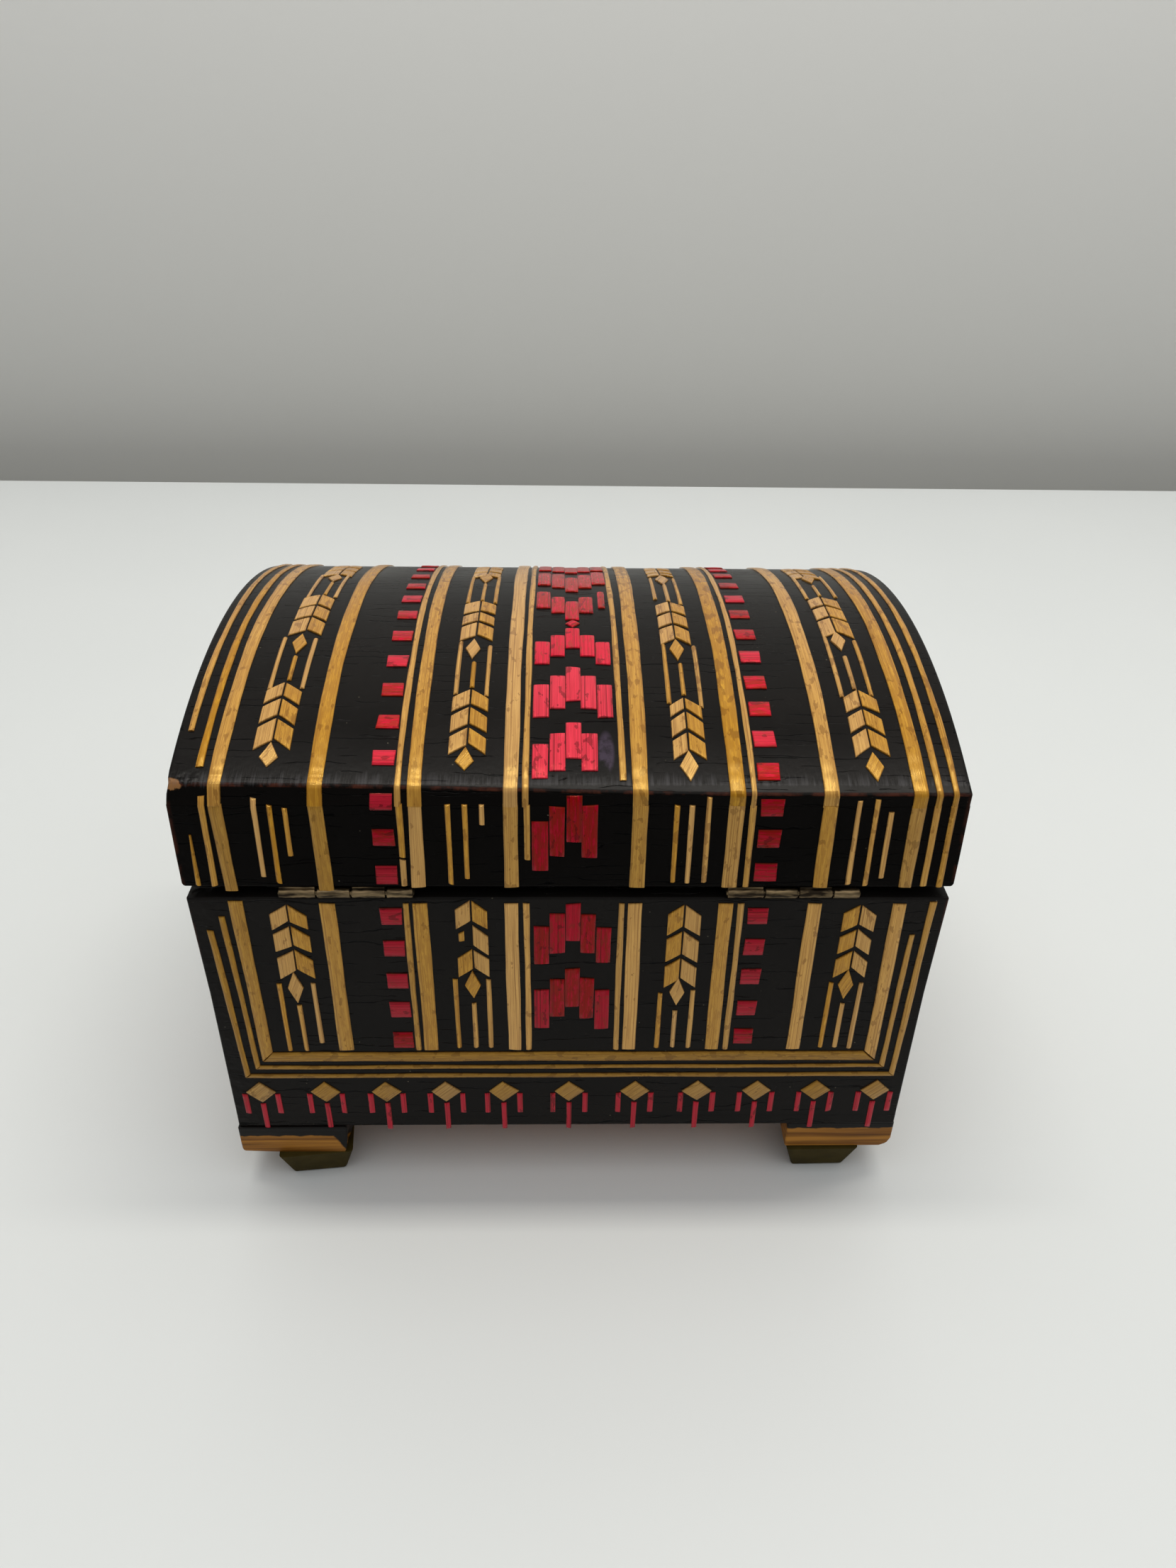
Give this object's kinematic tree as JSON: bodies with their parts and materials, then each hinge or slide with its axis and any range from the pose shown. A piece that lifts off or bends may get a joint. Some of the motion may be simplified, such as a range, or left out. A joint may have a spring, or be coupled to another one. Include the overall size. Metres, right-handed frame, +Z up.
{
  "type": "jewelry box",
  "caption": "Lacquered wooden jewelry box with an arched hinged lid, block feet on rubber pads and a raised straw pattern of strips, wheat ears and lozenges.",
  "frame": {"origin": "on the table, under the middle of the closed box's bounding box", "axes": "+X along the box, +Y towards the hinged back, +Z up; the lid opens at the -Y side"},
  "size_m": [0.1504, 0.1114, 0.1179],
  "materials": {
    "black_lacquered_wood": "black-brown lacquer, satin, finely crazed, worn to brown wood along the lid's fold",
    "stained_wood": "brown stained wood, thin varnish",
    "straw_faced_wood": "golden varnished, lengthwise grain",
    "aged_brass": "aged, brown in the hollows",
    "grey_rubber": "matt, soft"
  },
  "bodies": {
    "base": {"bottom_board": "stained_wood", "back_wall": "black_lacquered_wood", "front_wall": "black_lacquered_wood", "left_wall": "black_lacquered_wood", "right_wall": "black_lacquered_wood", "foot_front_left": "straw_faced_wood", "foot_front_right": "straw_faced_wood", "foot_back_left": "straw_faced_wood", "foot_back_right": "straw_faced_wood", "pad_front_left": "grey_rubber", "pad_front_right": "grey_rubber", "pad_back_left": "grey_rubber", "pad_back_right": "grey_rubber", "hinge_left_base_leaf": "aged_brass", "hinge_left_pin": "aged_brass", "hinge_right_base_leaf": "aged_brass", "hinge_right_pin": "aged_brass"},
    "lid": {"lid_top_panel": "black_lacquered_wood", "lid_back_rail": "black_lacquered_wood", "lid_front_rail": "black_lacquered_wood", "lid_left_end": "black_lacquered_wood", "lid_right_end": "black_lacquered_wood", "hinge_left_lid_leaf": "aged_brass", "hinge_right_lid_leaf": "aged_brass"}
  },
  "joints": [
    {"name": "lid_hinge", "type": "hinge", "parent": "base", "child": "lid", "pos_m": [0, 0.0547, 0.0838], "axis": [-1, 0, 0], "range_deg": [0, 165]}
  ]
}
